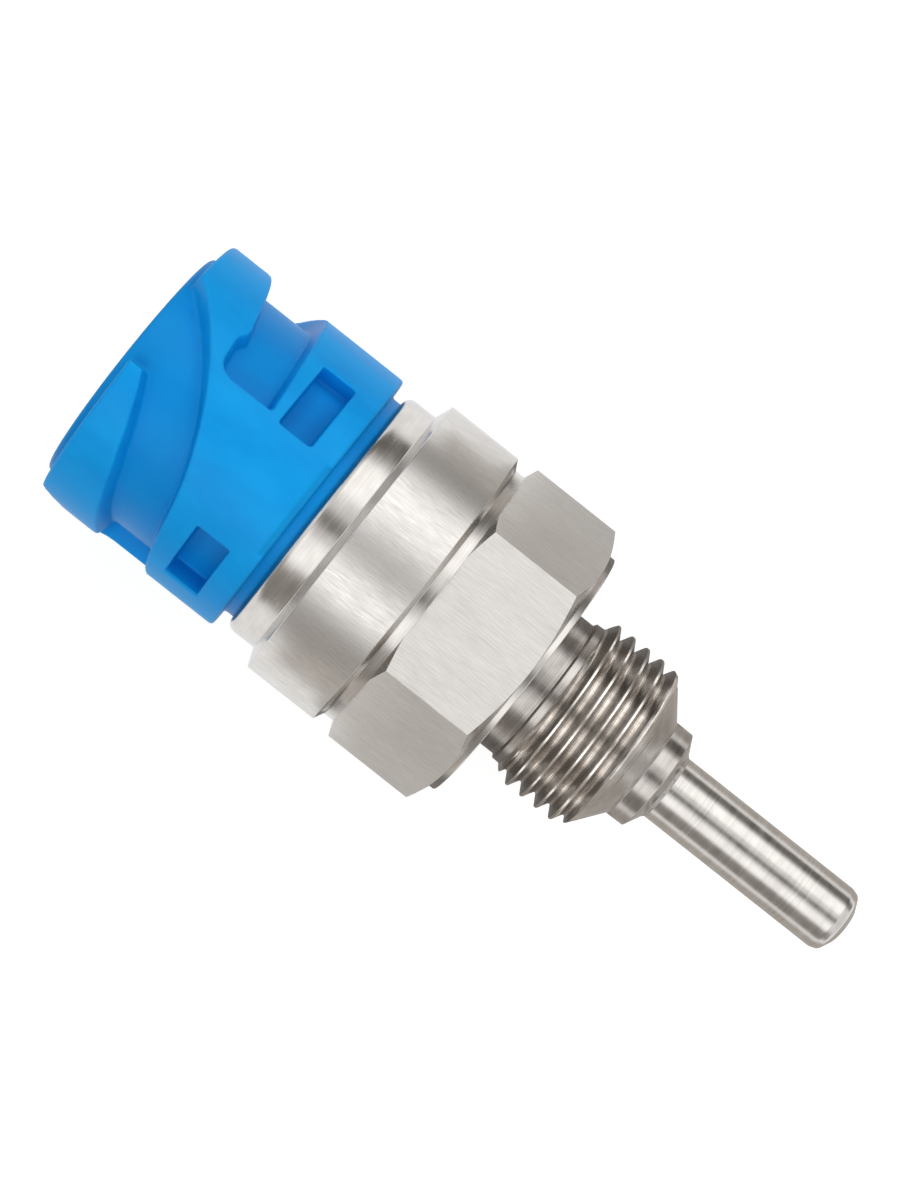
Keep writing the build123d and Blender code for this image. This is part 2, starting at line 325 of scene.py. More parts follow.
# Plain finish with a speckle of its own, for the small parts
def speckled(name, look):
    speckSpan = (0.3, 0.7)
    material, nodes, shader, place = startMaterial(name, Metallic=look["metal"])
    speck = nodes.noise(place, look["spot"], detail=3.0)
    share = nodes.fit(speck, speckSpan)
    feed(nodes, shader,
         Base_Color=nodes.blend(share, look["dark"], look["light"]),
         Roughness=nodes.fit(share, (0.0, 1.0), *look["roughness"]),
         Normal=nodes.bump(speck, look["depth"]))
    return material


# Turned steel housing: hexagon, collar, rolled lip and threaded nose

housingSizes = {
    "seatRadius": 3.0, "noseBottom": -14.6, "stepFace": 3.45, "stepRadius": 4.7, "stepChamfer": 0.65,
    "coneBottom": -12.3, "threadBottom": -9.75, "threadTop": -2.05,
    "neckRadius": 6.65, "washerRadius": 11.95, "hexBottom": 0.5, "hexTop": 10.0,
    "acrossFlats": 24.0, "hexChamferAngle": 24, "grooveRadius": 12.65, "collarBottom": 10.9,
    "collarRadius": 13.523, "lowBevel": 0.45, "topBevel": 0.6, "collarTop": 18.75,
    "skirtRadius": 11.975, "lipRadius": 0.85, "lipTop": 21.6, "lipBore": 11.075, "lipUnderside": 20.65,
    "skirtBore": 11.425, "sealSeat": 14.05, "chamberRadius": 9.3, "chamberFloor": 4.0,
    "leadBore": 3.5, "probeTop": -4.0, "coreRadius": 6.2, "coreGap": 0.3, "coneSeam": -10.88, "seamRise": 0.2,
    "edge": 0.1, "stepEdge": 0.12, "neckRounding": 0.2, "grooveEdge": 0.06, "skirtRounding": 0.15,
    "steps": 144, "smoothAngle": 32,
}
threadSizes = {
    "pitch": 1.5, "crestHeight": -6.69, "majorRadius": 8.0, "minorRadius": 7.02, "steps": 144,
    "crestHalf": 0.08, "crestSoft": 0.045, "rootSoft": 0.08, "flankAngle": 30,
    "flankShares": (0, 0.25, 0.5, 0.75, 1), "turnsBelow": 5, "turnsAbove": 4,
    "endChamfer": 0.4, "startRadius": 6.98, "startLength": 1.6, "startSlope": 0.03, "startEdge": 0.15,
    "rodReach": 0.1, "rodFoot": 0.15, "rodInset": 0.2, "seamGap": 0.01,
}


# Radius of the nose's cone at a height
def noseCone(height):
    s = housingSizes
    share = (height - s["coneBottom"]) / (s["threadBottom"] - s["coneBottom"])
    return s["stepRadius"] + share * (threadSizes["majorRadius"] - s["stepRadius"])


# Points (radius, height) of the thread's profile, from below to above
def threadProfile():
    t = threadSizes
    flankSlope = tan(radians(t["flankAngle"]))
    crestEdge = t["crestHalf"] + t["crestSoft"]
    crestLow = t["majorRadius"] - t["crestSoft"]
    rootHigh = t["minorRadius"] + t["rootSoft"]
    rootEdge = crestEdge + (crestLow - rootHigh) * flankSlope
    flank = [(crestEdge + share * (rootEdge - crestEdge), crestLow - share * (crestLow - rootHigh))
             for share in t["flankShares"]]
    onePitch = ([(-t["crestHalf"], t["majorRadius"]), (t["crestHalf"], t["majorRadius"])] + flank
                + [(t["pitch"] / 2, t["minorRadius"])]
                + [(t["pitch"] - offset, radius) for offset, radius in reversed(flank)])
    return [(radius, t["crestHeight"] + turn * t["pitch"] + offset)
            for turn in range(-t["turnsBelow"], t["turnsAbove"]) for offset, radius in onePitch]


# Points (height, radius) of the blank that the thread is cut on, with a run-out at each end
def threadBlank():
    s, t = housingSizes, threadSizes
    seam = s["coneSeam"] + t["seamGap"]
    coneEnd = s["threadBottom"] - t["endChamfer"] / 2
    return [
        (s["coneSeam"] - t["rodFoot"], s["coreRadius"] - t["rodInset"]),
        (seam, noseCone(seam)),
        (coneEnd, noseCone(coneEnd)),
        (s["threadBottom"] + t["endChamfer"], t["majorRadius"]),
        (s["threadTop"] - t["startLength"], t["majorRadius"]),
        (s["threadTop"] - t["startLength"] / 2, t["startRadius"]),
        (s["threadTop"] - t["startEdge"], t["startRadius"] - t["startSlope"]),
        (s["threadTop"] + t["rodReach"], s["neckRadius"] - t["rodReach"]),
    ]


def threadRod():
    t = threadSizes
    line = threadProfile()
    inObjectMode()
    bpy.ops.mesh.primitive_plane_add(size=mm)
    rod = bpy.context.object
    rod.name = rod.data.name = "threadRod"
    editAll(rod)
    bpy.ops.mesh.merge(type="CENTER")
    radius, height = line[0]
    bpy.ops.transform.translate(value=(radius * mm, 0, height * mm))
    for nextRadius, nextHeight in line[1:]:
        step = ((nextRadius - radius) * mm, 0, (nextHeight - height) * mm)
        bpy.ops.mesh.extrude_region_move(TRANSFORM_OT_translate={"value": step})
        radius, height = nextRadius, nextHeight
    inObjectMode()
    applyModifier(rod, "SCREW", axis="Z", angle=2 * pi, steps=t["steps"], render_steps=t["steps"],
                  screw_offset=t["pitch"] * mm, use_merge_vertices=True, merge_threshold=mergeGap)
    editAll(rod)
    bpy.ops.mesh.remove_doubles(threshold=mergeGap)
    blank = threadBlank()
    for height, side in ((blank[-1][0], 1), (blank[0][0], -1)):
        bpy.ops.mesh.select_all(action="SELECT")
        bpy.ops.mesh.bisect(plane_co=(0, 0, height * mm), plane_no=(0, 0, side),
                            use_fill=True, clear_outer=True, threshold=cutGap)
    for height, radius in blank[1:-1]:
        bpy.ops.mesh.select_all(action="SELECT")
        bpy.ops.mesh.bisect(plane_co=(0, 0, height * mm), plane_no=(0, 0, 1), threshold=cutGap)
    # No point stands further out than the blank at its height
    inObjectMode()
    slack = cutGap / mm
    for vertex in rod.data.vertices:
        x, y, z = vertex.co / mm
        for (low, lowRadius), (high, highRadius) in zip(blank, blank[1:]):
            if low - slack <= z <= high + slack:
                limit = lowRadius + (highRadius - lowRadius) * (z - low) / (high - low)
                shrink = min(1, limit / hypot(x, y))
                vertex.co = (x * shrink * mm, y * shrink * mm, z * mm)
                break
    editAll(rod)
    bpy.ops.mesh.remove_doubles(threshold=mergeGap)
    bpy.ops.mesh.normals_make_consistent(inside=False)
    inObjectMode()
    return rod


# The two rings of the hexagon go out to its flats, on the cones of its ends
def shapeHexagon(housing, hexGuess):
    s = housingSizes
    slope = tan(radians(s["hexChamferAngle"]))
    ringWidth = 0.01
    for vertex in housing.data.vertices:
        x, y, z = vertex.co / mm
        if abs(hypot(x, y) - hexGuess) > ringWidth or not s["hexBottom"] < z < s["hexTop"]:
            continue
        around = atan2(x, -y)
        fromFlat = (around + pi / 6) % (pi / 3) - pi / 6
        radius = s["acrossFlats"] / 2 / cos(fromFlat)
        if z < (s["hexBottom"] + s["hexTop"]) / 2:
            height = s["hexBottom"] + (radius - s["washerRadius"]) * slope
        else:
            height = s["hexTop"] - max(radius - s["grooveRadius"], 0) * slope
        vertex.co = (sin(around) * radius * mm, -cos(around) * radius * mm, height * mm)


# Name of the finish that a face of the housing gets, where the nose and the neck get darker copies of the
# turned steel as painted shade
def housingFinishOrShade(face):
    s, t = housingSizes, threadSizes
    seatGap = 0.01
    collarDepth = 0.1
    greatestTilt = 0.1
    x, y, z = face.center / mm
    radius = hypot(x, y)
    isUpright = abs(face.normal.z) < greatestTilt
    runOut = s["threadTop"] - t["startLength"] / 2
    if s["threadBottom"] - t["endChamfer"] < z < runOut and radius > t["startRadius"]:
        return "thread"
    if s["hexBottom"] < z < s["hexTop"] and radius > s["washerRadius"] and isUpright:
        return "flats"
    if radius > s["collarRadius"] - collarDepth and isUpright:
        return "collar"
    if z < -seatGap and radius > s["leadBore"]:
        # The nose and the neck take painted shade: darker copies of the turned steel, the neck darkest
        return "shadedNeck" if z > s["threadTop"] - t["rodReach"] else "nose"
    return "turned"


def housingPiece():
    s, t = housingSizes, threadSizes
    # The hexagon starts as a round ring, wider than its flats and shorter at both ends
    hexSpare = 1
    hexShort = 0.5
    hexGuess = s["acrossFlats"] / 2 + hexSpare
    corners = [
        (s["seatRadius"], s["noseBottom"], 0),
        (s["stepFace"], s["noseBottom"], s["edge"]),
        (s["stepRadius"], s["noseBottom"] + s["stepChamfer"], s["edge"]),
        (s["stepRadius"], s["coneBottom"], s["stepEdge"]),
        (noseCone(s["coneSeam"]), s["coneSeam"], 0),
        (s["coreRadius"], s["coneSeam"] + s["seamRise"], 0),
        (s["coreRadius"], s["threadTop"] - s["coreGap"], 0),
        (s["neckRadius"], s["threadTop"] - t["rodReach"], 0),
        (s["neckRadius"], 0, s["neckRounding"]),
        (s["washerRadius"], 0, s["edge"]),
        (s["washerRadius"], s["hexBottom"], 0),
        (hexGuess, s["hexBottom"] + hexShort, 0),
        (hexGuess, s["hexTop"] - hexShort, 0),
        (s["grooveRadius"], s["hexTop"], 0),
        (s["grooveRadius"], s["collarBottom"], s["grooveEdge"]),
        (s["collarRadius"], s["collarBottom"] + s["lowBevel"], s["edge"]),
        (s["collarRadius"], s["collarTop"] - s["topBevel"], s["edge"]),
        (s["skirtRadius"], s["collarTop"], s["skirtRounding"]),
        (s["skirtRadius"], s["lipTop"], s["lipRadius"]),
        (s["lipBore"], s["lipTop"], 0),
        (s["lipBore"], s["lipUnderside"], 0),
        (s["skirtBore"], s["lipUnderside"], 0),
        (s["skirtBore"], s["sealSeat"], 0),
        (s["chamberRadius"], s["sealSeat"], 0),
        (s["chamberRadius"], s["chamberFloor"], 0),
        (s["leadBore"], s["chamberFloor"], 0),
        (s["leadBore"], s["probeTop"], 0),
        (s["seatRadius"], s["probeTop"], 0),
    ]
    housing = turnRings("turnedHousing", corners, s["steps"], closed=True)
    shapeHexagon(housing, hexGuess)
    rod = threadRod()
    applyModifier(housing, "BOOLEAN", operation="UNION", solver="EXACT", object=rod)
    bpy.data.objects.remove(rod)
    smoothShade(housing, s["smoothAngle"])
    finishesAndShades = {
        "turned": turnedSteel("turnedSteel", rgb(0.50, 0.475, 0.45), rgb(0.68, 0.655, 0.625)),
        # The nose and neck steels are darker copies of the turned steel, painted shade below the hexagon
        "nose": turnedSteel("shadedNoseSteel", rgb(0.36, 0.335, 0.31), rgb(0.56, 0.53, 0.50)),
        "shadedNeck": turnedSteel("shadedNeckSteel", rgb(0.25, 0.23, 0.21), rgb(0.50, 0.47, 0.44)),
        "thread": threadSteel(),
        "collar": brushedSteel("brushedCollar", rgb(0.54, 0.52, 0.495), rgb(0.75, 0.73, 0.705), 0.26, 0.36),
        "flats": brushedSteel("brushedFlats", rgb(0.66, 0.64, 0.61), rgb(0.86, 0.84, 0.81), 0.38, 0.5),
    }
    finishAndShadeNames = list(finishesAndShades)
    for material in finishesAndShades.values():
        housing.data.materials.append(material)
    for face in housing.data.polygons:
        face.material_index = finishAndShadeNames.index(housingFinishOrShade(face))
    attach(housing, "root")
    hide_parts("housing")
    print("housing made", len(housing.data.polygons), "faces")


# Closed probe tube

probeSizes = {
    "radius": 3.0, "bore": 2.5, "bottom": -33.5, "boreFloor": -32.0, "top": -4.0, "poleRadius": 0.2,
    "tipRadius": 1.6, "shoulderRadius": 2.8, "shoulderHeight": 0.6, "sideHeight": 1.3,
    "tipRounding": 0.6, "sideRounding": 0.5, "steps": 96, "smoothAngle": 40,
}


def probePiece():
    p = probeSizes
    probe = turnRings("closedProbe", [
        (p["poleRadius"], p["bottom"], 0),
        (p["tipRadius"], p["bottom"], p["tipRounding"]),
        (p["shoulderRadius"], p["bottom"] + p["shoulderHeight"], p["sideRounding"]),
        (p["radius"], p["bottom"] + p["sideHeight"], p["sideRounding"]),
        (p["radius"], p["top"], 0),
        (p["bore"], p["top"], 0),
        (p["bore"], p["boreFloor"], 0),
        (p["poleRadius"], p["boreFloor"], 0),
    ], p["steps"])
    smoothShade(probe, p["smoothAngle"])
    probe.data.materials.append(turnedSteel("drawnSteel", rgb(0.50, 0.475, 0.45), rgb(0.68, 0.655, 0.625)))
    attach(probe, "root")
    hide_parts("probe_tube")
    print("probe made")


# Blue receptacle: lands with bayonet grooves and pockets, round a barrel with its socket

receptacleSizes = {
    "flangeBottom": 16.55, "flangeTop": 20.65, "flangeRadius": 11.375, "neckRadius": 11.025,
    "landBottom": 22.5, "landTop": 40.2, "landRadius": 12.65, "landRoot": 10.35, "landEdge": 0.3,
    "barrelRadius": 10.85, "rimTop": 40.9, "rimEdge": 0.3, "poleRadius": 0.2,
    "socketRadius": 9.2, "socketFloor": 24.5, "mouthChamfer": 0.5,
    "keyTurn": 180, "keyDepth": 0.9, "keyWidth": 2.0, "keyTop": 37.0,
    "pinRadius": 1.25, "pinOffset": 3.6, "pinSteps": 48,
    "pocketTurns": (30, 130, 210, 310), "pocketWidth": 6.8, "pocketBottom": 24.9, "pocketTop": 28.1,
    "pocketFloor": 10.2,
    "reliefTurns": (-29, 13), "reliefDepth": 0.6, "reliefStep": 2,
    "steps": 240, "voxel": 0.145, "softness": 0.5, "softening": 3, "keptShare": 0.38,
}
grooveSizes = {
    "count": 3, "lockHeight": 8.3, "lockLead": 0.1, "rampStart": -42, "rampGain": 0.0435,
    "mouthTurn": 50, "narrowTurn": -30, "throatTurn": -84, "throatWidth": 6, "pocketEnd": -104,
    "channelHeight": 5.05, "throatHeight": 4.0, "pocketHeight": 4.6, "pocketCorner": 1.3,
    "noseTurn": -1.3, "noseReach": 25, "noseDepth": 1.8, "cutterReach": 0.8, "draft": 0.24,
}


def lowerWall(turn):
    g = grooveSizes
    run = radians(turn - g["rampStart"]) * receptacleSizes["landRadius"]
    height = receptacleSizes["landBottom"] + g["lockHeight"] + g["lockLead"] * run
    return height + g["rampGain"] / 2 * max(run, 0) ** 2


def softStep(share):
    share = min(1, max(0, share))
    return share * share * (3 - 2 * share)


# The upper wall comes nearer at the throat, and rounds the corner of the end pocket
def upperWall(turn):
    g = grooveSizes
    if turn > g["throatTurn"]:
        share = min(1, (turn - g["throatTurn"]) / (g["narrowTurn"] - g["throatTurn"]))
        gap = g["throatHeight"] + share * (g["channelHeight"] - g["throatHeight"])
    else:
        share = softStep((g["throatTurn"] - turn) / g["throatWidth"])
        gap = g["throatHeight"] + share * (g["pocketHeight"] - g["throatHeight"])
    corner = g["pocketCorner"]
    inside = corner - radians(turn - g["pocketEnd"]) * receptacleSizes["landRadius"]
    if inside > 0:
        gap -= corner - (corner ** 2 - min(inside, corner) ** 2) ** 0.5
    return lowerWall(turn) + gap


# A flat block wrapped round the axis between two turns, two radii and two heights
def wrappedBlock(name, turns, radii, low, high, stepTurn=1):
    steps = round((turns[1] - turns[0]) / stepTurn)
    inObjectMode()
    bpy.ops.mesh.primitive_grid_add(x_subdivisions=steps, y_subdivisions=1, size=1)
    block = bpy.context.object
    block.name = block.data.name = name
    editAll(block)
    bpy.ops.mesh.extrude_region_move(TRANSFORM_OT_translate={"value": (0, 0, 1)})
    inObjectMode()
    for vertex in block.data.vertices:
        along, across, depth = vertex.co.x + 0.5, vertex.co.y + 0.5, vertex.co.z
        turn = turns[0] + along * (turns[1] - turns[0])
        radius = radii[0] + depth * (radii[1] - radii[0])
        lowest, highest = low(turn, radius), high(turn, radius)
        vertex.co = aroundAxis(turn, radius, lowest + across * (highest - lowest)) * mm
    editAll(block)
    bpy.ops.mesh.normals_make_consistent(inside=False)
    inObjectMode()
    return block


# Box whose face looks outwards, from the given radius inwards
def radialBox(name, turn, outside, depth, width, bottom, top):
    inObjectMode()
    bpy.ops.mesh.primitive_cube_add(size=1)
    box = bpy.context.object
    box.name = box.data.name = name
    box.data.transform(Matrix.Diagonal((width * mm, depth * mm, (top - bottom) * mm, 1)))
    box.data.transform(Matrix.Translation((0, (depth / 2 - outside) * mm, (top + bottom) / 2 * mm)))
    box.data.transform(Matrix.Rotation(radians(turn), 4, "Z"))
    return box


def turnedCopies(piece, count):
    copies = [piece]
    for number in range(1, count):
        copy = piece.copy()
        copy.data = piece.data.copy()
        copy.data.transform(Matrix.Rotation(2 * pi * number / count, 4, "Z"))
        bpy.context.scene.collection.objects.link(copy)
        copies.append(copy)
    return copies


def joinPieces(pieces):
    inObjectMode()
    for piece in pieces:
        piece.select_set(True)
    bpy.context.view_layer.objects.active = pieces[0]
    bpy.ops.object.join()
    return pieces[0]


def cutAway(piece, cutters):
    cutter = joinPieces(cutters)
    applyModifier(piece, "BOOLEAN", operation="DIFFERENCE", solver="EXACT", use_self=True, object=cutter)
    bpy.data.objects.remove(cutter)


# The pockets go a little way into the barrel, and their side walls are parallel
def pocketCutters():
    s = receptacleSizes
    outside = s["landRadius"] + grooveSizes["cutterReach"]
    return [radialBox("pocket", turn, outside, outside - s["pocketFloor"], s["pocketWidth"],
                      s["pocketBottom"], s["pocketTop"]) for turn in s["pocketTurns"]]


# Three grooves with the tips of the lands beside their mouths, and a relief at the rear
def grooveCutters():
    s, g = receptacleSizes, grooveSizes
    outside = s["landRadius"] + g["cutterReach"]
    cutRadii = (s["barrelRadius"] - g["cutterReach"], outside)
    reliefRadii = (s["landRadius"] - s["reliefDepth"], outside)

    def spread(radius):
        return (radius - s["barrelRadius"]) * g["draft"]

    groove = wrappedBlock("groove", (g["pocketEnd"], g["mouthTurn"]), cutRadii,
                          lambda turn, radius: lowerWall(turn) - spread(radius),
                          lambda turn, radius: upperWall(turn) + spread(radius))
    nose = wrappedBlock("landTip", (g["noseTurn"], g["noseTurn"] + g["noseReach"]), cutRadii,
                        lambda turn, radius: s["landTop"] - g["noseDepth"],
                        lambda turn, radius: s["landTop"] + g["noseDepth"])
    relief = wrappedBlock("rearRelief", s["reliefTurns"], reliefRadii,
                          lambda turn, radius: s["landBottom"] - g["cutterReach"],
                          lambda turn, radius: s["landBottom"] + radius - reliefRadii[0], s["reliefStep"])
    return turnedCopies(groove, g["count"]) + turnedCopies(nose, g["count"]) + [relief]


# Cylinders for the two pin holes in the floor of the socket
def pinHoleCutters():
    s = receptacleSizes
    margin = 1
    depth = s["socketFloor"] - s["flangeBottom"]
    cutters = []
    for side in (-1, 1):
        inObjectMode()
        centre = (side * s["pinOffset"] * mm, 0, (s["flangeBottom"] + depth / 2) * mm)
        bpy.ops.mesh.primitive_cylinder_add(vertices=s["pinSteps"], radius=s["pinRadius"] * mm,
                                            depth=(depth + 2 * margin) * mm, location=centre)
        bpy.ops.object.transform_apply(location=True, rotation=True, scale=True)
        cutters.append(bpy.context.object)
    return cutters


def receptaclePiece():
    s = receptacleSizes
    lands = turnRings("landRing", [
        (s["landRoot"], s["landBottom"], 0),
        (s["landRadius"], s["landBottom"], s["landEdge"]),
        (s["landRadius"], s["landTop"], s["landEdge"]),
        (s["landRoot"], s["landTop"], 0),
    ], s["steps"], closed=True)
    cutAway(lands, grooveCutters() + pocketCutters())
    barrel = turnRings("barrel", [
        (s["poleRadius"], s["flangeBottom"], 0),
        (s["flangeRadius"], s["flangeBottom"], 0),
        (s["flangeRadius"], s["flangeTop"], 0),
        (s["neckRadius"], s["flangeTop"], 0),
        (s["neckRadius"], s["landBottom"], 0),
        (s["barrelRadius"], s["landBottom"], 0),
        (s["barrelRadius"], s["rimTop"], s["rimEdge"]),
        (s["socketRadius"] + s["mouthChamfer"], s["rimTop"], 0),
        (s["socketRadius"], s["rimTop"] - s["mouthChamfer"], 0),
        (s["socketRadius"], s["socketFloor"], 0),
        (s["poleRadius"], s["socketFloor"], 0),
    ], s["steps"])
    cutAway(barrel, pinHoleCutters() + pocketCutters())
    # The key stands on the socket's floor and goes half its depth into the wall
    key = radialBox("socketKey", s["keyTurn"], s["socketRadius"] + s["keyDepth"] / 2, 1.5 * s["keyDepth"],
                    s["keyWidth"], s["socketFloor"] - s["keyDepth"], s["keyTop"])
    receptacle = joinPieces([lands, barrel, key])
    receptacle.name = receptacle.data.name = "bayonetReceptacle"
    # One skin over all of it, with the soft edges of a moulding
    applyModifier(receptacle, "REMESH", mode="VOXEL", voxel_size=s["voxel"] * mm, adaptivity=0)
    applyModifier(receptacle, "SMOOTH", factor=s["softness"], iterations=s["softening"])
    print("receptacle skin", len(receptacle.data.polygons), "faces")
    applyModifier(receptacle, "DECIMATE", ratio=s["keptShare"])
    pick(receptacle)
    bpy.ops.object.shade_smooth()
    receptacle.data.materials.clear()
    receptacle.data.materials.append(satinBlue())
    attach(receptacle, "root")
    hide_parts("connector_body")
    print("receptacle made", len(receptacle.data.polygons), "faces")


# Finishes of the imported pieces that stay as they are

packedLooks = {
    "tinnedContact": {
        "dark": rgb(0.62, 0.60, 0.55), "light": rgb(0.80, 0.78, 0.73), "metal": 1.0,
        "spot": (0.4, 0.4, 1.2), "roughness": (0.18, 0.32), "depth": 0.002,
        "nodes": ("contact_pin_1", "contact_pin_2", "crimp_sleeve_1", "crimp_sleeve_2")},
    "tinnedWire": {
        "dark": rgb(0.66, 0.62, 0.55), "light": rgb(0.80, 0.77, 0.70), "metal": 1.0,
        "spot": (0.2, 0.2, 0.8), "roughness": (0.22, 0.36), "depth": 0.002,
        "nodes": ("lead_wire_1", "lead_wire_2")},
    "weldSeam": {
        "dark": rgb(0.34, 0.32, 0.30), "light": rgb(0.62, 0.60, 0.57), "metal": 1.0,
        "spot": (0.25, 0.25, 0.25), "roughness": (0.25, 0.45), "depth": 0.02,
        "nodes": ("probe_weld",)},
    "sealRubber": {
        "dark": rgb(0.018, 0.018, 0.018), "light": rgb(0.035, 0.035, 0.035), "metal": 0.0,
        "spot": (0.5, 0.5, 0.5), "roughness": (0.55, 0.75), "depth": 0.006,
        "nodes": ("housing_seal",)},
    "castingResin": {
        "dark": rgb(0.02, 0.02, 0.022), "light": rgb(0.05, 0.05, 0.055), "metal": 0.0,
        "spot": (1.5, 1.5, 1.5), "roughness": (0.25, 0.45), "depth": 0.01,
        "nodes": ("potting",)},
    "whiteMoulding": {
        "dark": rgb(0.66, 0.64, 0.59), "light": rgb(0.78, 0.76, 0.71), "metal": 0.0,
        "spot": (1.2, 1.2, 1.2), "roughness": (0.4, 0.55), "depth": 0.005,
        "nodes": ("lead_sleeve_1", "lead_sleeve_2", "wire_spacer")},
    "darkBead": {
        "dark": rgb(0.03, 0.028, 0.026), "light": rgb(0.07, 0.06, 0.055), "metal": 0.0,
        "spot": (0.6, 0.6, 0.6), "roughness": (0.15, 0.3), "depth": 0.01,
        "nodes": ("thermistor",)},
    "whitePaste": {
        "dark": rgb(0.62, 0.62, 0.60), "light": rgb(0.75, 0.75, 0.73), "metal": 0.0,
        "spot": (0.5, 0.5, 0.5), "roughness": (0.55, 0.8), "depth": 0.03,
        "nodes": ("heat_paste",)},
}


def finishPackedPieces():
    for name, look in packedLooks.items():
        material = speckled(name, look)
        for node in look["nodes"]:
            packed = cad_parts[node].data
            packed.materials.clear()
            packed.materials.append(material)
    print("packed pieces finished", sum(len(look["nodes"]) for look in packedLooks.values()))


# Camera at the photograph's viewing angle

cameraSettings = {
    "turn": -2.3, "place": (1.02, -278, 19.0), "aim": (1.02, 0, 8.53), "roll": 38.4, "lens": 102,
    "nearest": 0.01, "farthest": 10,
}


def addCamera():
    c = cameraSettings
    turn = Matrix.Rotation(radians(c["turn"]), 3, "Z")
    place = Vector(c["place"]) * mm
    forward = (Vector(c["aim"]) * mm - place).normalized()
    up = Vector((cos(radians(c["roll"])), 0, sin(radians(c["roll"]))))
    up = (up - up.dot(forward) * forward).normalized()
    right = forward.cross(up)
    axes = turn @ Matrix((right, up, -forward)).transposed()
    lens = bpy.data.cameras.new("photoCamera")
    lens.lens = c["lens"]
    lens.clip_start, lens.clip_end = c["nearest"], c["farthest"]
    camera = bpy.data.objects.new("photoCamera", lens)
    bpy.context.scene.collection.objects.link(camera)
    camera.matrix_world = Matrix.Translation(turn @ place) @ axes.to_4x4()
    bpy.context.scene.camera = camera
    print("camera placed")


# White floor behind the part, as it lies before the camera, and soft studio light

stageSettings = {
    "floorPlace": 13.6, "floorSize": 2.4, "floorWhite": 0.74, "floorDiffuse": 0.5, "worldLight": 0.3,
    "lampAim": (0, 0, 0.005), "lampDistance": 0.55, "lampHeight": 0.7,
    "topPlace": (0, -0.12, 0.5), "topWidth": 0.4, "topHeight": 0.3, "topPower": 0.14,
}
# The soft lamps light the plastic, and only the other two show in the steel
lamps = {
    "keyLamp": {"turn": 38, "width": 0.34, "power": 0.5, "inSteel": True},
    "fillLamp": {"turn": -34, "width": 0.28, "power": 0.36, "inSteel": True},
    "softKeyLamp": {"turn": 44, "width": 0.3, "power": 1.2, "inSteel": False},
    "softFillLamp": {"turn": -40, "width": 0.3, "power": 1.0, "inSteel": False},
}


def backgroundRay(nodes):
    path = nodes.add("LightPath")
    seen = nodes.math("MAXIMUM", path.outputs["Is Camera Ray"], path.outputs["Is Glossy Ray"])
    return nodes.math("MAXIMUM", seen, path.outputs["Is Transmission Ray"])


# The floor is plain white before the camera and clear from behind, and it keeps the shadow
def addFloor():
    s = stageSettings
    inObjectMode()
    bpy.ops.mesh.primitive_plane_add(size=s["floorSize"], location=(0, s["floorPlace"] * mm, 0),
                                     rotation=(pi / 2, 0, 0))
    floor = bpy.context.object
    floor.name = floor.data.name = "paleFloor"
    bpy.ops.object.transform_apply(location=True, rotation=True, scale=True)
    material, nodes, surface = bareMaterial("paleFloor")
    matt = nodes.add("BsdfDiffuse", {"Color": rgb(*(s["floorDiffuse"],) * 3)}).outputs[0]
    strength = nodes.math("MULTIPLY", backgroundRay(nodes), s["floorWhite"])
    glow = nodes.add("Emission", {"Color": rgb(1, 1, 1), "Strength": strength}).outputs[0]
    both = nodes.add("AddShader", {0: matt, 1: glow}).outputs[0]
    clear = nodes.add("BsdfTransparent").outputs[0]
    behind = nodes.add("NewGeometry").outputs["Backfacing"]
    shown = nodes.add("MixShader", {0: behind, 1: both, 2: clear}).outputs[0]
    nodes.fill(surface, shown)
    floor.data.materials.append(material)
    print("floor laid")


def addLamp(name, place, width, height, power):
    data = bpy.data.lights.new(name, "AREA")
    data.shape = "RECTANGLE"
    data.size, data.size_y = width, height
    data.energy = power
    lamp = bpy.data.objects.new(name, data)
    bpy.context.scene.collection.objects.link(lamp)
    towards = (Vector(stageSettings["lampAim"]) - place).to_track_quat("-Z", "Y")
    lamp.matrix_world = Matrix.Translation(place) @ towards.to_matrix().to_4x4()
    return lamp


def addLight():
    s = stageSettings
    world = bpy.data.worlds.new("studio")
    bpy.context.scene.world = world
    world.use_nodes = True
    nodes = NodeTree(world.node_tree)
    background = world.node_tree.nodes["Background"]
    nodes.fill(background.inputs["Color"], rgb(1, 1, 1))
    nodes.fill(background.inputs["Strength"],
               nodes.fit(backgroundRay(nodes), (0.0, 1.0), s["worldLight"], 1.0))
    for name, each in lamps.items():
        place = aroundAxis(each["turn"], s["lampDistance"])
        lamp = addLamp(name, place, each["width"], s["lampHeight"], each["power"])
        lamp.visible_glossy = each["inSteel"]
    addLamp("topLamp", Vector(s["topPlace"]), s["topWidth"], s["topHeight"], s["topPower"])
    print("lamps placed", len(lamps) + 1)


# Grey cards give the steel its soft bands, and only reflections show them. Three stand beside the
# camera, the two flags close by the sides of the body, and the last two just before the floor

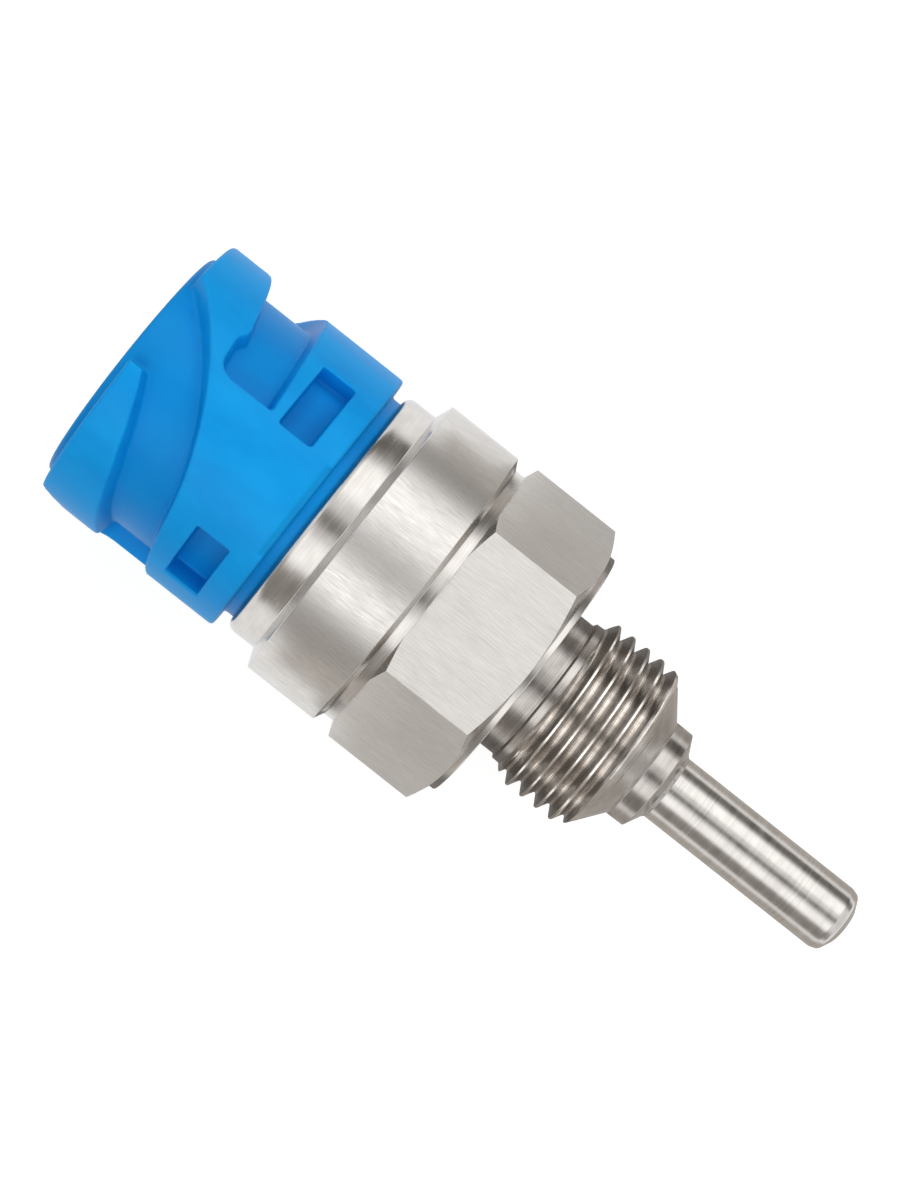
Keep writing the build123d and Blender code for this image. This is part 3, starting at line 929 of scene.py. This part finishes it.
cards = {
    "cameraCard": {"turn": -3, "distance": 0.7, "width": 0.24, "span": (-0.6, 0.6), "glow": 0.2},
    "rightCard": {"turn": 82, "distance": 0.45, "width": 0.46, "span": (-0.5, 0.5), "glow": 0.18},
    "leftCard": {"turn": -71, "distance": 0.45, "width": 0.50, "span": (-0.5, 0.5), "glow": 0.34},
    "rightFlag": {"turn": 80, "distance": 0.027, "width": 0.018, "span": (-0.004, 0.018), "glow": 0.55},
    "leftFlag": {"turn": -80, "distance": 0.027, "width": 0.018, "span": (-0.004, 0.018), "glow": 0.62},
    "bodyCard": {"turn": 180, "distance": 0.0132, "width": 0.15, "span": (-0.015, 0.009), "glow": 0.24},
    "probeCard": {"turn": 180, "distance": 0.0132, "width": 0.15, "span": (-0.06, -0.015), "glow": 0.55},
}
cardLook = {"tint": (1.0, 0.94, 0.88), "fade": 0.3}


# A card fades out towards its two upright edges
def cardMaterial(name, glow):
    material, nodes, surface = bareMaterial(name)
    material.cycles.emission_sampling = "NONE"
    across = nodes.add("SeparateXYZ", {0: nodes.add("TexCoord").outputs["UV"]}).outputs[0]
    fromMiddle = nodes.math("ABSOLUTE", nodes.math("SUBTRACT", across, 0.5))
    fromEdge = nodes.math("SUBTRACT", 0.5, fromMiddle)
    solid = nodes.add("MapRange", {"Value": fromEdge, "From Max": cardLook["fade"]},
                      interpolation_type="SMOOTHSTEP").outputs[0]
    grey = nodes.add("Emission", {"Color": rgb(*cardLook["tint"]), "Strength": glow}).outputs[0]
    clear = nodes.add("BsdfTransparent").outputs[0]
    nodes.fill(surface, nodes.add("MixShader", {0: solid, 1: clear, 2: grey}).outputs[0])
    return material


def addCards():
    for name, card in cards.items():
        low, high = card["span"]
        middle = aroundAxis(card["turn"], card["distance"], (low + high) / 2)
        inObjectMode()
        bpy.ops.mesh.primitive_plane_add(size=1)
        plane = bpy.context.object
        plane.name = plane.data.name = name
        plane.data.transform(Matrix.Diagonal((card["width"], high - low, 1, 1)))
        plane.data.transform(Matrix.Rotation(pi / 2, 4, "X"))
        plane.data.transform(Matrix.Rotation(radians(card["turn"]), 4, "Z"))
        plane.data.transform(Matrix.Translation(middle))
        plane.visible_camera = plane.visible_diffuse = plane.visible_shadow = False
        plane.data.materials.append(cardMaterial(name, card["glow"]))
    print("cards placed", len(cards))


housingPiece()
probePiece()
receptaclePiece()
finishPackedPieces()
addCamera()
addFloor()
addLight()
addCards()
bpy.context.scene.view_settings.view_transform = "Standard"

print("scene ready")
